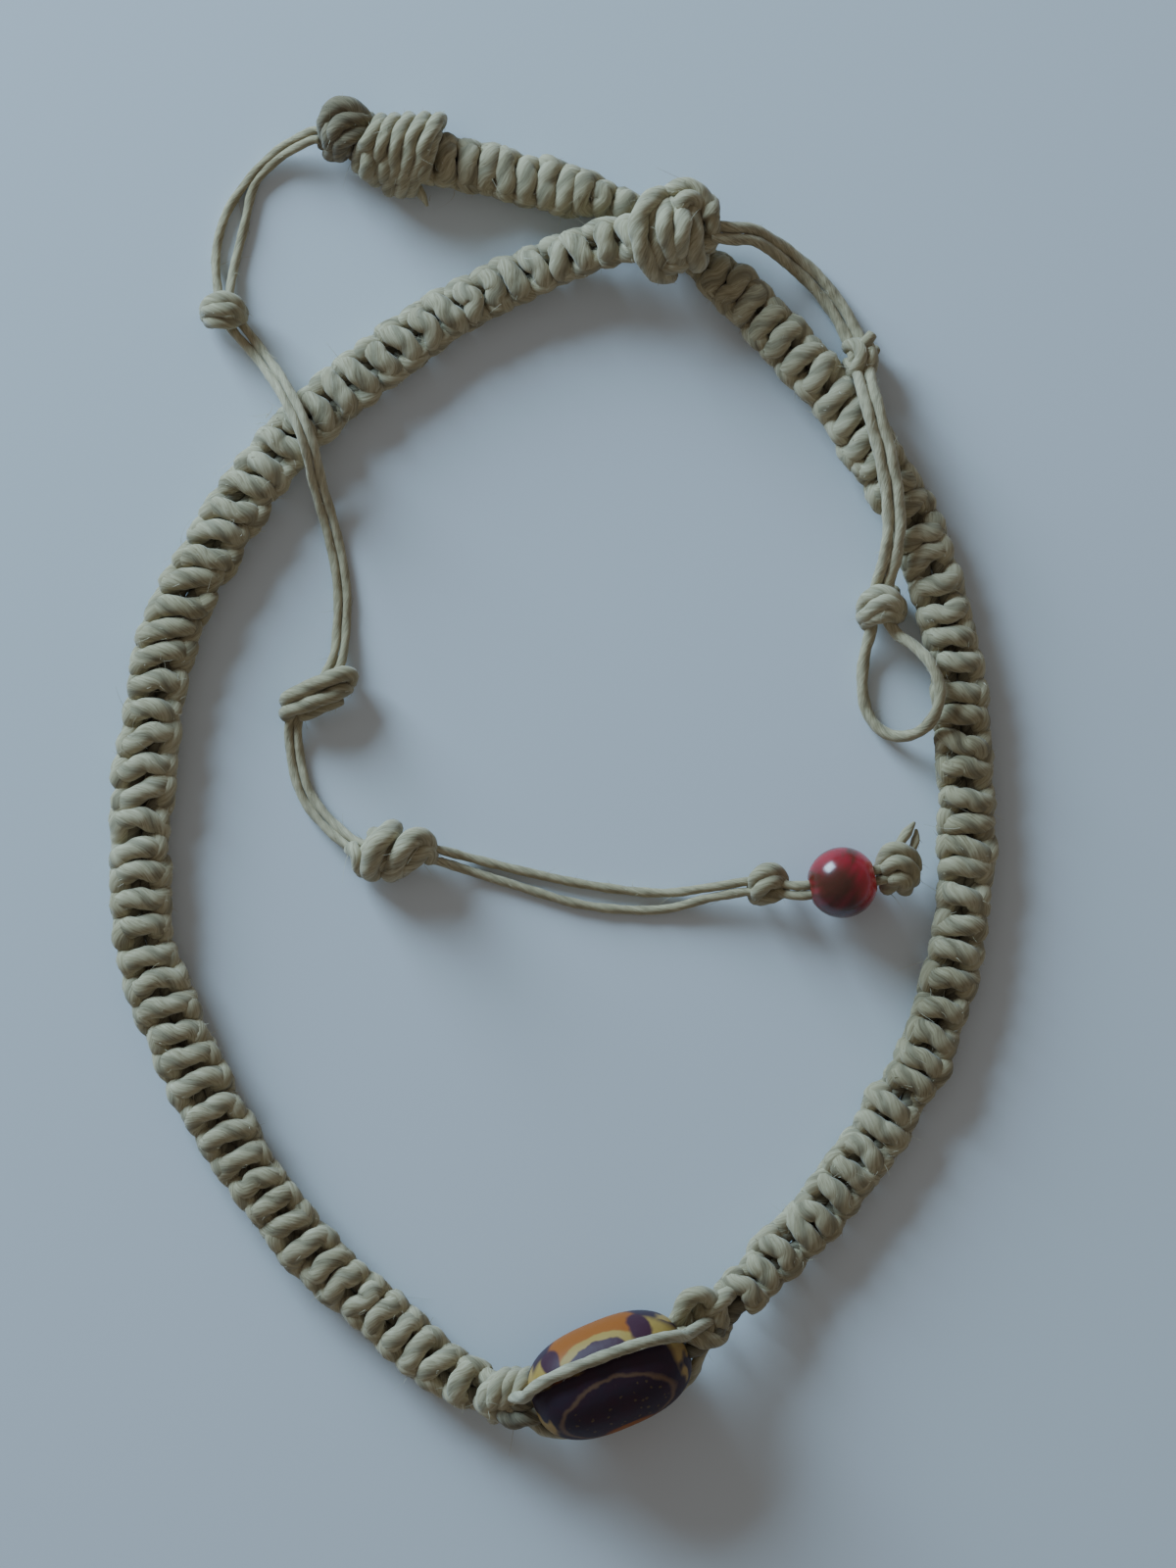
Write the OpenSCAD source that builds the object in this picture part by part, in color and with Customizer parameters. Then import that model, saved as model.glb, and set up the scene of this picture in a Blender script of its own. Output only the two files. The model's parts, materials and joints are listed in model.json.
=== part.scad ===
// Knotted hemp necklace with a button tail, a loop tail and two beads.
// It lies closed and flat on a surface: +Z is up, +Y runs from the big bead to the ends.
// Origin: the middle of the necklace's footprint, on the surface it lies on. Millimetres.

/* [Knotted band] */
// Width of the band along the two long sides
band_w = 6.8; // [5.6:0.2:7.2]
// Width of the band near its two ends
band_end_w = 6.2; // [5.4:0.2:6.4]
// Thickness of the band, three cords deep
band_t = 4.6; // [4.4:0.1:5]
// Width of the bare neck under the loop end
neck_w = 3.9; // [3.7:0.1:4.2]
// Thickness of the bare neck
neck_t = 2.9; // [2.7:0.1:3]

/* [Cords] */
// Diameter of each of the two core cords
core_d = 1.5; // [1.2:0.1:1.6]
// Diameter of the cord that makes the loop tail
loop_cord_d = 1.4; // [1:0.1:1.5]
// Diameter of each cord of the button tail
button_cord_d = 1.1; // [0.8:0.1:1.2]
// Diameter of the cords that hold the big bead
lashing_d = 1.5; // [1:0.1:1.6]

/* [Beads] */
// Length of the big bead along its hole
focal_len = 18.6; // [17:0.2:19]
// Diameter of the big bead at its middle
focal_d = 12.4; // [11:0.2:12.6]
// Diameter of the big bead's hole
focal_hole_d = 3.6; // [3.4:0.1:4]
// Diameter of the red bead
red_d = 8; // [7:0.2:8.2]
// Diameter of the red bead's hole
red_hole_d = 2.6; // [2.5:0.1:3]

/* [Knots] */
// How deep the grooves between the turns of a knot are
groove = 0.25; // [0.1:0.05:0.35]

/* [Hidden] */

// ---- Sections and derived sizes ----
roundness = 2.6;                 // superellipse exponent of the band's section and of the big bead
knot_fullness = 3.4;             // the same for the knots, which are blunter
section_sides = 12;
cord_sides = 8;
half_step = 180 / section_sides; // turns the section so that it has a flat under it
rest_z = band_t / 2 * pow(cos(half_step), 2 / roundness);
neck_z = 1.9;                    // height of the neck's middle
core_gap = 0.05;                 // between the two core cords
core_offset = core_d / 2 + core_gap / 2;
core_play = 0.45;                // room round the core cords, across and up
steps = 2;                       // rings for each route point of the band

// ---- Routes: from the button end, round the loop, to the loop end ----
button_side_route = [
    [-14.6, 69.2, rest_z + 1], [-6, 67.3, rest_z + 0.1], [0, 65.8, rest_z], [4, 64.8, rest_z],
    [9, 63, neck_z], [14, 59.8, neck_z],
    [18.2, 56, rest_z], [22.5, 52, rest_z], [28.5, 45.5, rest_z], [35, 37, rest_z], [40.5, 28, rest_z],
    [44.5, 16, rest_z], [46, 5, rest_z], [46.6, -7, rest_z], [45.7, -18.5, rest_z], [42.5, -30.5, rest_z],
    [37, -40.5, rest_z], [29.5, -50.5, rest_z + 0.1], [24, -55.8, rest_z + 0.6], [18.9, -60.9, 5]
];
left_route = [
    [-6.2, -70.4, 4.9], [-12.5, -67.6, rest_z + 0.8], [-20, -61, rest_z + 0.1], [-28, -53.5, rest_z],
    [-36, -42.5, rest_z], [-42, -31, rest_z], [-46, -19.5, rest_z], [-46.5, -7, rest_z],
    [-45.5, 5, rest_z], [-43, 16, rest_z], [-36.5, 28.5, rest_z], [-30, 37, rest_z],
    [-23, 43.3, rest_z], [-15, 49.2, rest_z]
];
hinge_gap = 0.4;                 // slit where the loop end bends up
loop_end_route = [
    [-15 + 0.8 * hinge_gap, 49.2 + 0.6 * hinge_gap, rest_z], [-10, 52.5, rest_z + 0.05],
    [-5, 55, rest_z + 0.3], [0, 57, 3.1], [4, 58.5, 4.4], [10.6, 60, 6.7]
];

// Each cord of the tails, from where it leaves the band to its end
loop_cord_route = [
    [19.9, 60.8, 6.4], [22.8, 60.7, 4.6], [27.2, 58.4, 1.7], [30.8, 55.2, 0.9], [33.6, 51, 1.2],
    [35.1, 47.3, 2], [35.8, 44, 3.8], [36.6, 40.5, 5.8], [37.8, 36, 6], [38.7, 31.5, 5.9],
    [39, 27.5, 5.9], [38.7, 24, 5.3], [37.9, 20.8, 3.5], [37.5, 18, 2.5], [38.6, 15.4, 2.7],
    [40.6, 13.9, 3.8], [42.4, 11.8, 5.1], [43.4, 9, 5.6], [42.9, 6.2, 5.1], [41.3, 4.3, 3.5],
    [39, 3.7, 2], [36.9, 4.5, 1.1], [35.4, 6.6, 0.8], [34.9, 9.8, 0.8], [35.2, 13, 1],
    [35.9, 16, 1.8], [35.9, 18.4, 2.4], [36.3, 21, 3.2], [37.1, 24, 4.7], [37.5, 27.5, 5.5],
    [37.2, 31.5, 5.9], [36.3, 36, 6], [35.1, 40.5, 5.9], [34.3, 43.8, 4.2], [33.6, 47, 2],
    [32.2, 50.3, 1.2], [29.7, 53.8, 0.9], [26.6, 56.7, 1.7], [23, 59.1, 4.6], [19.9, 59.3, 6.4]
];
button_left_route = [
    [-27.6, 72, 2.8], [-31, 70.7, 1.2], [-34.3, 67.5, 0.7], [-37, 63, 0.6], [-38.2, 58.5, 0.6],
    [-38, 54.5, 1.3], [-37.5, 51.8, 1.9], [-36.2, 49.5, 1.6], [-33.9, 46.7, 1.8], [-31.5, 43.3, 4],
    [-29.6, 39.9, 5.8], [-28.1, 36.2, 5.8], [-27.1, 31.8, 2.8], [-25.6, 26.3, 0.8], [-24.6, 21, 0.6],
    [-24.6, 16, 0.8], [-25.2, 12.2, 1.7], [-27.4, 8.5, 2.1], [-29.8, 5.8, 1.5], [-29.9, 2, 0.7],
    [-28.8, -2.8, 0.7], [-26.1, -6.4, 1], [-22.2, -9.4, 2.2], [-18.6, -9.9, 2.6]
];
button_right_route = [
    [-27.6, 70.6, 2.8], [-31, 68.5, 1.2], [-33.7, 65.8, 0.7], [-35, 61.5, 0.6], [-36, 57.5, 0.6],
    [-36.6, 54, 1.3], [-36.3, 51.9, 1.9], [-35.2, 50.3, 1.6], [-32.9, 47.5, 1.8], [-30.4, 44.1, 4],
    [-28.4, 40.6, 5.8], [-26.8, 36.6, 5.8], [-25.9, 32, 2.8], [-24.4, 26.6, 0.8], [-23.4, 21, 0.6],
    [-23.4, 16, 0.8], [-24, 11.7, 1.7], [-26.3, 9.3, 2.1], [-28.6, 6.2, 1.5], [-28.7, 2.2, 0.7],
    [-27.6, -2.2, 0.7], [-25.2, -5.6, 1], [-21.8, -8.2, 2.2], [-18.2, -8.6, 2.6]
];
bead_upper_route = [
    [-12.9, -9.1, 2.2], [-9.5, -10, 0.9], [-4, -11.4, 0.6], [4, -13.1, 0.6], [12, -14, 0.7],
    [18, -13.3, 1.8], [23.4, -12.5, 2.9], [28.3, -13.1, 4], [36.6, -11.3, 4], [38.8, -10.9, 3]
];
bead_lower_route = [
    [-12.9, -10.5, 2.2], [-9.8, -11.4, 0.9], [-4.4, -13.1, 0.6], [3.6, -15.4, 0.6], [11.8, -15.9, 0.7],
    [17.8, -14.5, 1.8], [23.4, -13.7, 2.9], [28.5, -14.2, 4], [36.8, -12.5, 4], [39, -12, 3]
];

// ---- Places of the knots and beads ----
focal_turn = 23;                 // the big bead's hole, turned from +X in the plane
focal_at = [6.3, -67.9, focal_d / 2 + 0.1];
focal_along = [cos(focal_turn), sin(focal_turn), 0];
focal_across = [-sin(focal_turn), cos(focal_turn), 0];
focal_exit = focal_len / 2 + 0.5; // the core cords run straight as far as this past its middle
lashing_clear = 0.25;            // between a lashing cord and the big bead
front_lashing_turn = 17;         // from straight up, towards the ends of the necklace
back_lashing_turn = -130;
left_knot_at = [-5, -70.8, 5.2];
right_knot_at = [17.6, -62, 5.4];
red_turn = 12;
red_at = [32.5, -12.75, red_d / 2 + 0.05];

// A gap all round the core cords: the hole that the knotted cords leave inside
core_hole = [4 * core_offset + core_play - core_gap, core_d + core_play];

// ---- Geometry functions ----
function unit(v) = v / norm(v);

function signed_power(v, power) = sign(v) * pow(abs(v), power);

// An oval section with a flat on top and underneath
function oval_section(size) = [
    for (k = [0 : section_sides - 1])
        let (a = (2 * k + 1) * half_step)
            [size.x / 2 * signed_power(cos(a), 2 / roundness), size.y / 2 * signed_power(sin(a), 2 / roundness)]
];

function round_section(d) = [
    for (k = [0 : cord_sides - 1])
        let (a = 360 * k / cord_sides) [d / 2 * cos(a), d / 2 * sin(a)]
];

function shifted(section, across) = [for (p = section) [p.x + across, p.y]];

// A smooth curve through the points, with a few steps between each two
function between(a, b, c, d, t) =
    0.5 * (2 * b + (c - a) * t + (2 * a - 5 * b + 4 * c - d) * t * t + (3 * b - a - 3 * c + d) * t * t * t);

function smooth(points) =
    let (last = len(points) - 1)
        concat(
            [for (i = [0 : last - 1], j = [0 : steps - 1])
                between(points[max(i - 1, 0)], points[i], points[i + 1], points[min(i + 2, last)], j / steps)],
            [points[last]]
        );

function direction(route, i) = unit(route[min(i + 1, len(route) - 1)] - route[max(i - 1, 0)]);

function ring(route, i, section) =
    let (along = direction(route, i), side = unit(cross([0, 0, 1], along)), up = cross(along, side))
        [for (p = section) route[i] + p.x * side + p.y * up];

// Triangles between two rings of n points that start at a and b
function wall(a, b, n) = [
    for (k = [0 : n - 1])
        let (next = (k + 1) % n)
            each [[a + k, b + k, a + next], [a + next, b + k, b + next]]
];

// The outline of a barrel, from its lower to its upper end, grooved between its turns of cord
function barrel_outline(length, d, turns) =
    let (points = 4 * turns)
        [for (i = [0 : points])
            let (t = i / points, bulge = pow(max(0, 1 - pow(abs(2 * t - 1), knot_fullness)), 1 / knot_fullness))
                [max(0, d / 2 * bulge - groove * bulge * abs(cos(180 * turns * t))), length * (t - 0.5)]];

// A cord that passes over the big bead from one side knot to the other, turned this far from straight up
function lashing_route(turn, depth) =
    let (reach = lashing_d / 2 + lashing_clear, out = sin(turn) * focal_across + [0, 0, cos(turn)])
        concat(
            [left_knot_at + depth * out],
            [for (a = [-66 : 12 : 66])
                focal_at
                    + (focal_len / 2 + reach) * signed_power(sin(a), 2 / roundness) * focal_along
                    + (focal_d / 2 + reach) * signed_power(cos(a), 2 / roundness) * out],
            [right_knot_at + depth * out]
        );

// ---- Building blocks ----
// A solid tube along a route
module tube(route, section) {
    n = len(section);
    last = len(route) - 1;
    polyhedron(
        points = [for (i = [0 : last]) each ring(route, i, section)],
        faces = concat(
            [[for (k = [0 : n - 1]) k]],
            [for (i = [0 : last - 1]) each wall(i * n, (i + 1) * n, n)],
            [[for (k = [n - 1 : -1 : 0]) last * n + k]]
        ),
        convexity = 10
    );
}

// A hollow sleeve along part of a line: its outer and inner sections have as many points as each other
module sleeve(line, first, last, outer, inner) {
    n = len(outer);
    rings = last - first;
    polyhedron(
        points = [for (i = [first : last]) each concat(ring(line, i, outer), ring(line, i, inner))],
        faces = concat(
            [for (i = [0 : rings - 1]) each wall(2 * i * n, 2 * (i + 1) * n, n)],
            [for (i = [0 : rings - 1]) each [for (f = wall((2 * i + 1) * n, (2 * i + 3) * n, n)) [f[2], f[1], f[0]]]],
            [for (k = [0 : n - 1]) let (m = (k + 1) % n) [k, m, n + m, n + k]],
            [for (k = [0 : n - 1]) let (m = (k + 1) % n, e = 2 * rings * n) [e + n + k, e + n + m, e + m, e + k]]
        ),
        convexity = 10
    );
}

// A stretch of the band, from one ring of its line to another
module band(line, first, last, size) {
    color("tan") sleeve(line, first, last, oval_section(size), oval_section(core_hole));
}

module cord(route, d) {
    color("burlywood") tube(route, round_section(d));
}

// Turns +Z to point along a direction, at a place
module aim(place, along) {
    translate(place)
        rotate([0, acos(unit(along).z), atan2(along.y, along.x)])
            children();
}

// A knot: a grooved barrel with its axis along the cord
module knot(place, along, length, d, turns) {
    color("darkkhaki") aim(place, along)
        rotate_extrude($fn = 48) polygon(barrel_outline(length, d, turns));
}

// A cut cord end that narrows to its tip
module cord_end(place, along, length, d) {
    color("burlywood") aim(place, along)
        cylinder(h = length, d1 = d, d2 = 0.6 * d, $fn = 48);
}

// ---- The whole lines, smoothed ----
button_side_line = smooth(button_side_route);
left_line = smooth(left_route);
loop_end_line = smooth(loop_end_route);
core_line = concat(
    [[-24.6, 72.3, 3.4], [-20, 70.5, 3.7]],
    button_side_line,
    [right_knot_at, focal_at + focal_exit * focal_along, focal_at - focal_exit * focal_along, left_knot_at],
    left_line
);
end_size = [band_end_w, band_t];
side_size = [band_w, band_t];

// ---- Knotted band, in stretches ----
module button_end_band() band(button_side_line, 0, 6, end_size);
module narrow_neck() band(button_side_line, 6, 12, [neck_w, neck_t]);
module right_band_top() band(button_side_line, 12, 20, end_size);
module right_band_middle() band(button_side_line, 20, 29, side_size);
module right_band_bottom() band(button_side_line, 29, 38, side_size);
module left_band_bottom() band(left_line, 0, 9, side_size);
module left_band_middle() band(left_line, 9, 18, side_size);
module left_band_top() band(left_line, 18, 26, side_size);
module loop_end_band() band(loop_end_line, 0, 10, end_size);

// ---- Core cords inside the band ----
module core_cord(route, side) {
    color("wheat") tube(route, shifted(round_section(core_d), side * core_offset));
}

module inner_core_cord() core_cord(core_line, -1);
module outer_core_cord() core_cord(core_line, 1);
module loop_end_inner_core() core_cord(loop_end_line, -1);
module loop_end_outer_core() core_cord(loop_end_line, 1);

// ---- Button end: end knot and whipping ----
module button_end_knot() knot([-23.9, 72.2, 3.3], [1, -0.27, 0], 5.8, 6.4, 3);
module button_end_whipping() knot([-17, 69.6, 3.9], [1, -0.2, 0], 8, 7.8, 5);
module whipping_cord_end() cord_end([-16.5, 66.3, 2.6], [0.55, -1, 0], 3, 1.4);

// ---- Big bead, its two side knots and the cords over it ----
module focal_bead() {
    color("saddlebrown") aim(focal_at, focal_along) difference() {
        rotate_extrude($fn = 64) polygon(barrel_smooth());
        cylinder(h = focal_len + 2, d = focal_hole_d, center = true, $fn = 48);
    }
}

// The big bead's outline: a barrel with rounded ends and no grooves
function barrel_smooth() =
    let (points = 24)
        [for (i = [0 : points])
            let (a = 180 * i / points - 90)
                [focal_d / 2 * signed_power(cos(a), 2 / roundness),
                 focal_len / 2 * signed_power(sin(a), 2 / roundness)]];

module right_bead_knot() knot(right_knot_at, [0.75, 0.66, -0.15], 4.2, 5.6, 2);
module left_bead_knot() knot(left_knot_at, [0.95, -0.3, 0.15], 4, 5.2, 2);
module front_lashing_cord() cord(lashing_route(front_lashing_turn, 1.4), lashing_d);
module back_lashing_cord() cord(lashing_route(back_lashing_turn, 1.4), lashing_d);

// ---- Loop end: wrap and knot, pressed flat where they lie on the neck ----
loop_knot_at = [14, 60.1, 7.1];
loop_knot_t = 6.8;               // thickness of the pressed knot

module loop_end_knot() {
    color("darkkhaki") intersection() {
        knot(loop_knot_at, [0.64, -0.77, 0], 10.4, 8.4, 4);
        translate(loop_knot_at) cube([20, 20, loop_knot_t], center = true);
    }
}

module loop_end_wrap() knot([9.6, 58.2, 6.6], [0.94, 0.34, 0.1], 2.8, 5.6, 1);

// ---- Loop tail: one doubled cord and two knots ----
module loop_tail_cord() cord(loop_cord_route, loop_cord_d);
module loop_spacing_knot() knot([34.35, 46.9, 2], [0.26, -0.97, 0.1], 6.2, 3.8, 3);
module loop_base_knot() knot([36.7, 18.1, 2.5], [0.1, -1, 0], 4.6, 4.8, 2);

// ---- Button tail: two cords and three spacing knots ----
module button_cord_left() cord(button_left_route, button_cord_d);
module button_cord_right() cord(button_right_route, button_cord_d);
module upper_spacing_knot() knot([-37.2, 51.9, 2], [1, 0.05, 0], 5.2, 4, 2);
module middle_spacing_knot() knot([-26.6, 8.8, 2.1], [0.87, 0.5, 0], 8.6, 4.2, 3);
module lower_spacing_knot() knot([-18.2, -9.3, 2.6], [1, 0.08, 0], 9, 5.2, 4);

// ---- Bead end of the button tail ----
module bead_cord_upper() cord(bead_upper_route, button_cord_d);
module bead_cord_lower() cord(bead_lower_route, button_cord_d);
module bead_keeper_knot() knot([23.5, -13.1, 2.9], [1, 0, 0.15], 4.6, 4.4, 2);
module bead_stopper_knot() knot([39.2, -11.3, 2.7], [0.3, 0.95, 0], 4.8, 4.6, 2);

module stopper_cord_ends() {
    cord_end([39.2, -9.6, 3.3], [0.1, 1, 0.1], 2.6, button_cord_d);
    cord_end([40.3, -9.8, 2.4], [0.35, 1, 0.2], 2.8, button_cord_d);
}

module red_bead() {
    color("crimson") aim(red_at, [cos(red_turn), sin(red_turn), 0]) difference() {
        sphere(d = red_d, $fn = 64);
        cylinder(h = red_d + 2, d = red_hole_d, center = true, $fn = 48);
    }
}

right_band_top();
right_band_middle();
right_band_bottom();
left_band_bottom();
left_band_middle();
left_band_top();
narrow_neck();
button_end_band();
button_end_whipping();
whipping_cord_end();
button_end_knot();
inner_core_cord();
outer_core_cord();
right_bead_knot();
left_bead_knot();
front_lashing_cord();
back_lashing_cord();
focal_bead();
loop_end_band();
loop_end_inner_core();
loop_end_outer_core();
loop_end_wrap();
loop_end_knot();
loop_tail_cord();
loop_spacing_knot();
loop_base_knot();
button_cord_left();
button_cord_right();
upper_spacing_knot();
middle_spacing_knot();
lower_spacing_knot();
bead_cord_upper();
bead_cord_lower();
bead_keeper_knot();
bead_stopper_knot();
stopper_cord_ends();
red_bead();
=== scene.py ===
import json
import math

import bpy
import numpy as np
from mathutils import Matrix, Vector

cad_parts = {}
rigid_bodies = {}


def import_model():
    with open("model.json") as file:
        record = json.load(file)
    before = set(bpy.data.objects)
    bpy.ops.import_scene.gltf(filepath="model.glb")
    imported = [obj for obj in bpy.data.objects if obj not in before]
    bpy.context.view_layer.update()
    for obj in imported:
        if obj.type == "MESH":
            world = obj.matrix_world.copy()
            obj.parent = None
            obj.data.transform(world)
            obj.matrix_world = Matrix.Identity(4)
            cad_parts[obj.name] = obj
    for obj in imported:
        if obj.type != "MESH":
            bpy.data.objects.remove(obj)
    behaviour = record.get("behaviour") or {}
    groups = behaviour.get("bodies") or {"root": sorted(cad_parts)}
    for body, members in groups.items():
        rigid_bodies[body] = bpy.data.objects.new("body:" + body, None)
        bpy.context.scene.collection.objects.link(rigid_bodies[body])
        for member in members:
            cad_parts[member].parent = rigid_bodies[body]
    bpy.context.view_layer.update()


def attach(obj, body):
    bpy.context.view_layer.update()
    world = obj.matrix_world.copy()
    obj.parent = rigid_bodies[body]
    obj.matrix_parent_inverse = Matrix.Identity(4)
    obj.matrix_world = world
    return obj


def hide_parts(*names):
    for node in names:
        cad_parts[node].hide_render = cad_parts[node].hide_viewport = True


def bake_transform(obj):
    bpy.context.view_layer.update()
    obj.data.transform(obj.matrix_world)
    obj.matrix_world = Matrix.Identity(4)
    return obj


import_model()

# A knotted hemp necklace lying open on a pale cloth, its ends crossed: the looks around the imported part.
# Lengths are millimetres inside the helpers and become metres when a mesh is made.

MM = 0.001
rng = np.random.default_rng(11)

WORK_D = 2.5                            # the working cords that make the band
CORE_D, CORE_APART = 2.2, 0.95          # the core cords, and how far each lies from the band's middle line
LOOP_D, BUTTON_D, LASH_D = 1.4, 1.1, 1.5
# Loose fibres a millimetre of cord, and how finely each fibre is made
BAND_HAIRS, KNOT_HAIRS, CORD_HAIRS, LASH_HAIRS, TUFT_HAIRS = 1.1, 1.3, 0.7, 0.6, 22
HAIR_RINGS, HAIR_SIDES = 5, 3
FLOOR_GAP = 0.03                        # nothing comes nearer to the cloth than this


# ---------------------------------------------------------------- curves
def smooth(points, steps):
    """A Catmull-Rom curve through the points."""
    p = np.array(points, float)
    q = np.vstack([2 * p[0] - p[1], p, 2 * p[-1] - p[-2]])
    t = (np.arange(steps) / steps)[:, None]
    out = []
    for a, b, c, d in zip(q[:-3], q[1:-2], q[2:-1], q[3:]):
        out.append(0.5 * (2 * b + (c - a) * t + (2 * a - 5 * b + 4 * c - d) * t**2
                          + (3 * b - a - 3 * c + d) * t**3))
    return np.vstack(out + [p[-1:]])


def lengths(points):
    return np.concatenate([[0], np.cumsum(np.linalg.norm(np.diff(points, axis=0), axis=1))])


def spaced(points, step):
    """The same line with its points about one step apart."""
    along = lengths(points)
    at = np.linspace(0, along[-1], max(3, round(along[-1] / step) + 1))
    return np.stack([np.interp(at, along, points[:, k]) for k in range(3)], axis=1)


def unit(v):
    v = np.array(v, float)
    return v / np.linalg.norm(v)


def frames(points):
    """Directions along a line and two across it that turn as little as they can."""
    along = np.gradient(points, axis=0)
    along /= np.linalg.norm(along, axis=1)[:, None]
    first = np.cross(along[0], [0, 0, 1.0])
    if np.linalg.norm(first) < 1e-6:
        first = np.array([1.0, 0, 0])
    side = np.empty_like(points)
    side[0] = first / np.linalg.norm(first)
    for i in range(1, len(points)):
        s = side[i - 1] - along[i] * np.dot(side[i - 1], along[i])
        side[i] = s / np.linalg.norm(s)
    return along, side, np.cross(along, side)


# ---------------------------------------------------------------- meshes
def mesh_object(name, verts, faces, uvs, material):
    mesh = bpy.data.meshes.new(name)
    mesh.from_pydata((np.asarray(verts) * MM).tolist(), [], faces)
    layer = mesh.uv_layers.new(name="UVMap")
    layer.data.foreach_set("uv", np.asarray(uvs, np.float32).ravel())
    mesh.polygons.foreach_set("use_smooth", [True] * len(mesh.polygons))
    mesh.materials.append(material)
    mesh.update()
    o = bpy.data.objects.new(name, mesh)
    bpy.context.scene.collection.objects.link(o)
    return o


class Strand:
    """One length of twine: its line, its diameter and how its plies turn.

    depth is how deep the grooves between the plies are, low how flat it is pressed, and taper how far from
    each end it starts to thin out.
    """

    def __init__(self, points, d, lay=5.0, plies=2, depth=0.1, step=0.3, sides=10, steps=6,
                 low=1.0, taper=(0, 0)):
        self.line = spaced(smooth(points, steps), step)
        self.d, self.lay, self.plies, self.depth, self.sides = d, lay, plies, depth, sides
        self.taper, self.low = taper, low
        self.phase = rng.uniform(0, 2 * math.pi)
        self.line[:, 2] = np.maximum(self.line[:, 2], low * d / 2 + FLOOR_GAP)

    def surface(self):
        n, k = len(self.line), self.sides
        along, side, up = frames(self.line)
        at = lengths(self.line)
        theta = np.arange(k) / k * 2 * math.pi
        turn = theta[None, :] - (2 * math.pi * at / self.lay)[:, None] + self.phase
        r = self.d / 2 * (1 - self.depth + self.depth * np.cos(self.plies * turn))
        # Hand-spun twine is uneven, by a few hundredths of its thickness
        wobble = 1 + 0.035 * np.sin(at * 1.7 + self.phase) + 0.025 * np.sin(at * 4.3 + 2 * self.phase)
        r = r * wobble[:, None]
        for share, end in zip(self.taper, (at, at[-1] - at)):
            if share:
                r = r * np.clip(0.35 + 0.65 * end / share, 0.35, 1)[:, None]
        ring = (self.line[:, None, :] + (r * np.cos(theta))[..., None] * side[:, None, :]
                + (r * np.sin(theta))[..., None] * up[:, None, :])
        ring[..., 2] = self.line[:, None, 2] + (ring[..., 2] - self.line[:, None, 2]) * self.low
        verts = ring.reshape(-1, 3)
        verts[:, 2] = np.maximum(verts[:, 2], FLOOR_GAP)
        i = np.arange(n - 1)[:, None] * k
        j = np.arange(k)[None, :]
        nxt = (j + 1) % k
        quads = np.stack([i + j, i + nxt, i + k + nxt, i + k + j], axis=-1).reshape(-1, 4)
        u0, u1 = (at[:-1, None] / 10) * np.ones((1, k)), (at[1:, None] / 10) * np.ones((1, k))
        v0 = (j / k) * np.ones((n - 1, 1)) + self.phase / (2 * math.pi)
        v1 = v0 + 1 / k
        uv = np.stack([u0, v0, u0, v1, u1, v1, u1, v0], axis=-1).reshape(-1, 2)
        ends = np.array([list(range(k))[::-1], list(range((n - 1) * k, n * k))])
        return verts, quads, uv, ends


def twine(name, strands, material, hairs=0.0):
    """Several strands as one mesh, with loose fibres as its child."""
    verts, faces, uvs, base = [], [], [], 0
    for s in strands:
        v, q, uv, ends = s.surface()
        verts.append(v)
        faces.extend((q + base).tolist())
        uvs.append(uv)
        for e in ends:
            faces.append((e + base).tolist())
            uvs.append(np.zeros((len(e), 2)))
        base += len(v)
    o = mesh_object(name, np.vstack(verts), faces, np.vstack(uvs), material)
    if hairs:
        fuzz = hair_mesh(name + "_fibres", strands, hairs)
        fuzz.parent = o
    return o


def hair_mesh(name, strands, per_mm):
    """Loose fibres that stand off the twine."""
    verts, faces, base = [], [], 0
    for s in strands:
        along, side, up = frames(s.line)
        total = lengths(s.line)[-1]
        for _ in range(rng.poisson(per_mm * total)):
            i = rng.integers(0, len(s.line))
            a = rng.uniform(0, 2 * math.pi)
            out = math.cos(a) * side[i] + math.sin(a) * up[i]
            if out[2] < -0.35:
                continue
            lean = unit(along[i] * rng.choice([-1, 1]) * rng.uniform(0.5, 1.6) + out * rng.uniform(0.25, 1)
                        + 0.4 * rng.normal(size=3))
            length = min(0.35 + rng.exponential(0.5), 3.0)
            bend = rng.normal(size=3) * 0.35 * length + np.array([0, 0, -0.12 * length])
            t = np.linspace(0, 1, HAIR_RINGS)[:, None]
            line = s.line[i] + out * s.d * 0.46 + lean * length * t + bend * t**2
            line[:, 2] = np.maximum(line[:, 2], 2 * FLOOR_GAP)
            r = rng.uniform(0.02, 0.042) * np.linspace(1, 0.3, HAIR_RINGS)
            across = unit(np.cross(lean, [0.3, 0.2, 1.0]))
            other = np.cross(lean, across)
            for m in range(HAIR_RINGS):
                for b in range(HAIR_SIDES):
                    g = b * 2 * math.pi / HAIR_SIDES
                    verts.append(line[m] + r[m] * (math.cos(g) * across + math.sin(g) * other))
            for m in range(HAIR_RINGS - 1):
                low, high = base + HAIR_SIDES * m, base + HAIR_SIDES * (m + 1)
                for b in range(HAIR_SIDES):
                    n = (b + 1) % HAIR_SIDES
                    faces.append([low + b, low + n, high + n, high + b])
            base += HAIR_RINGS * HAIR_SIDES
    corners = sum(len(f) for f in faces)
    return mesh_object(name, np.array(verts), faces, np.zeros((corners, 2)), HAIR)


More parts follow.
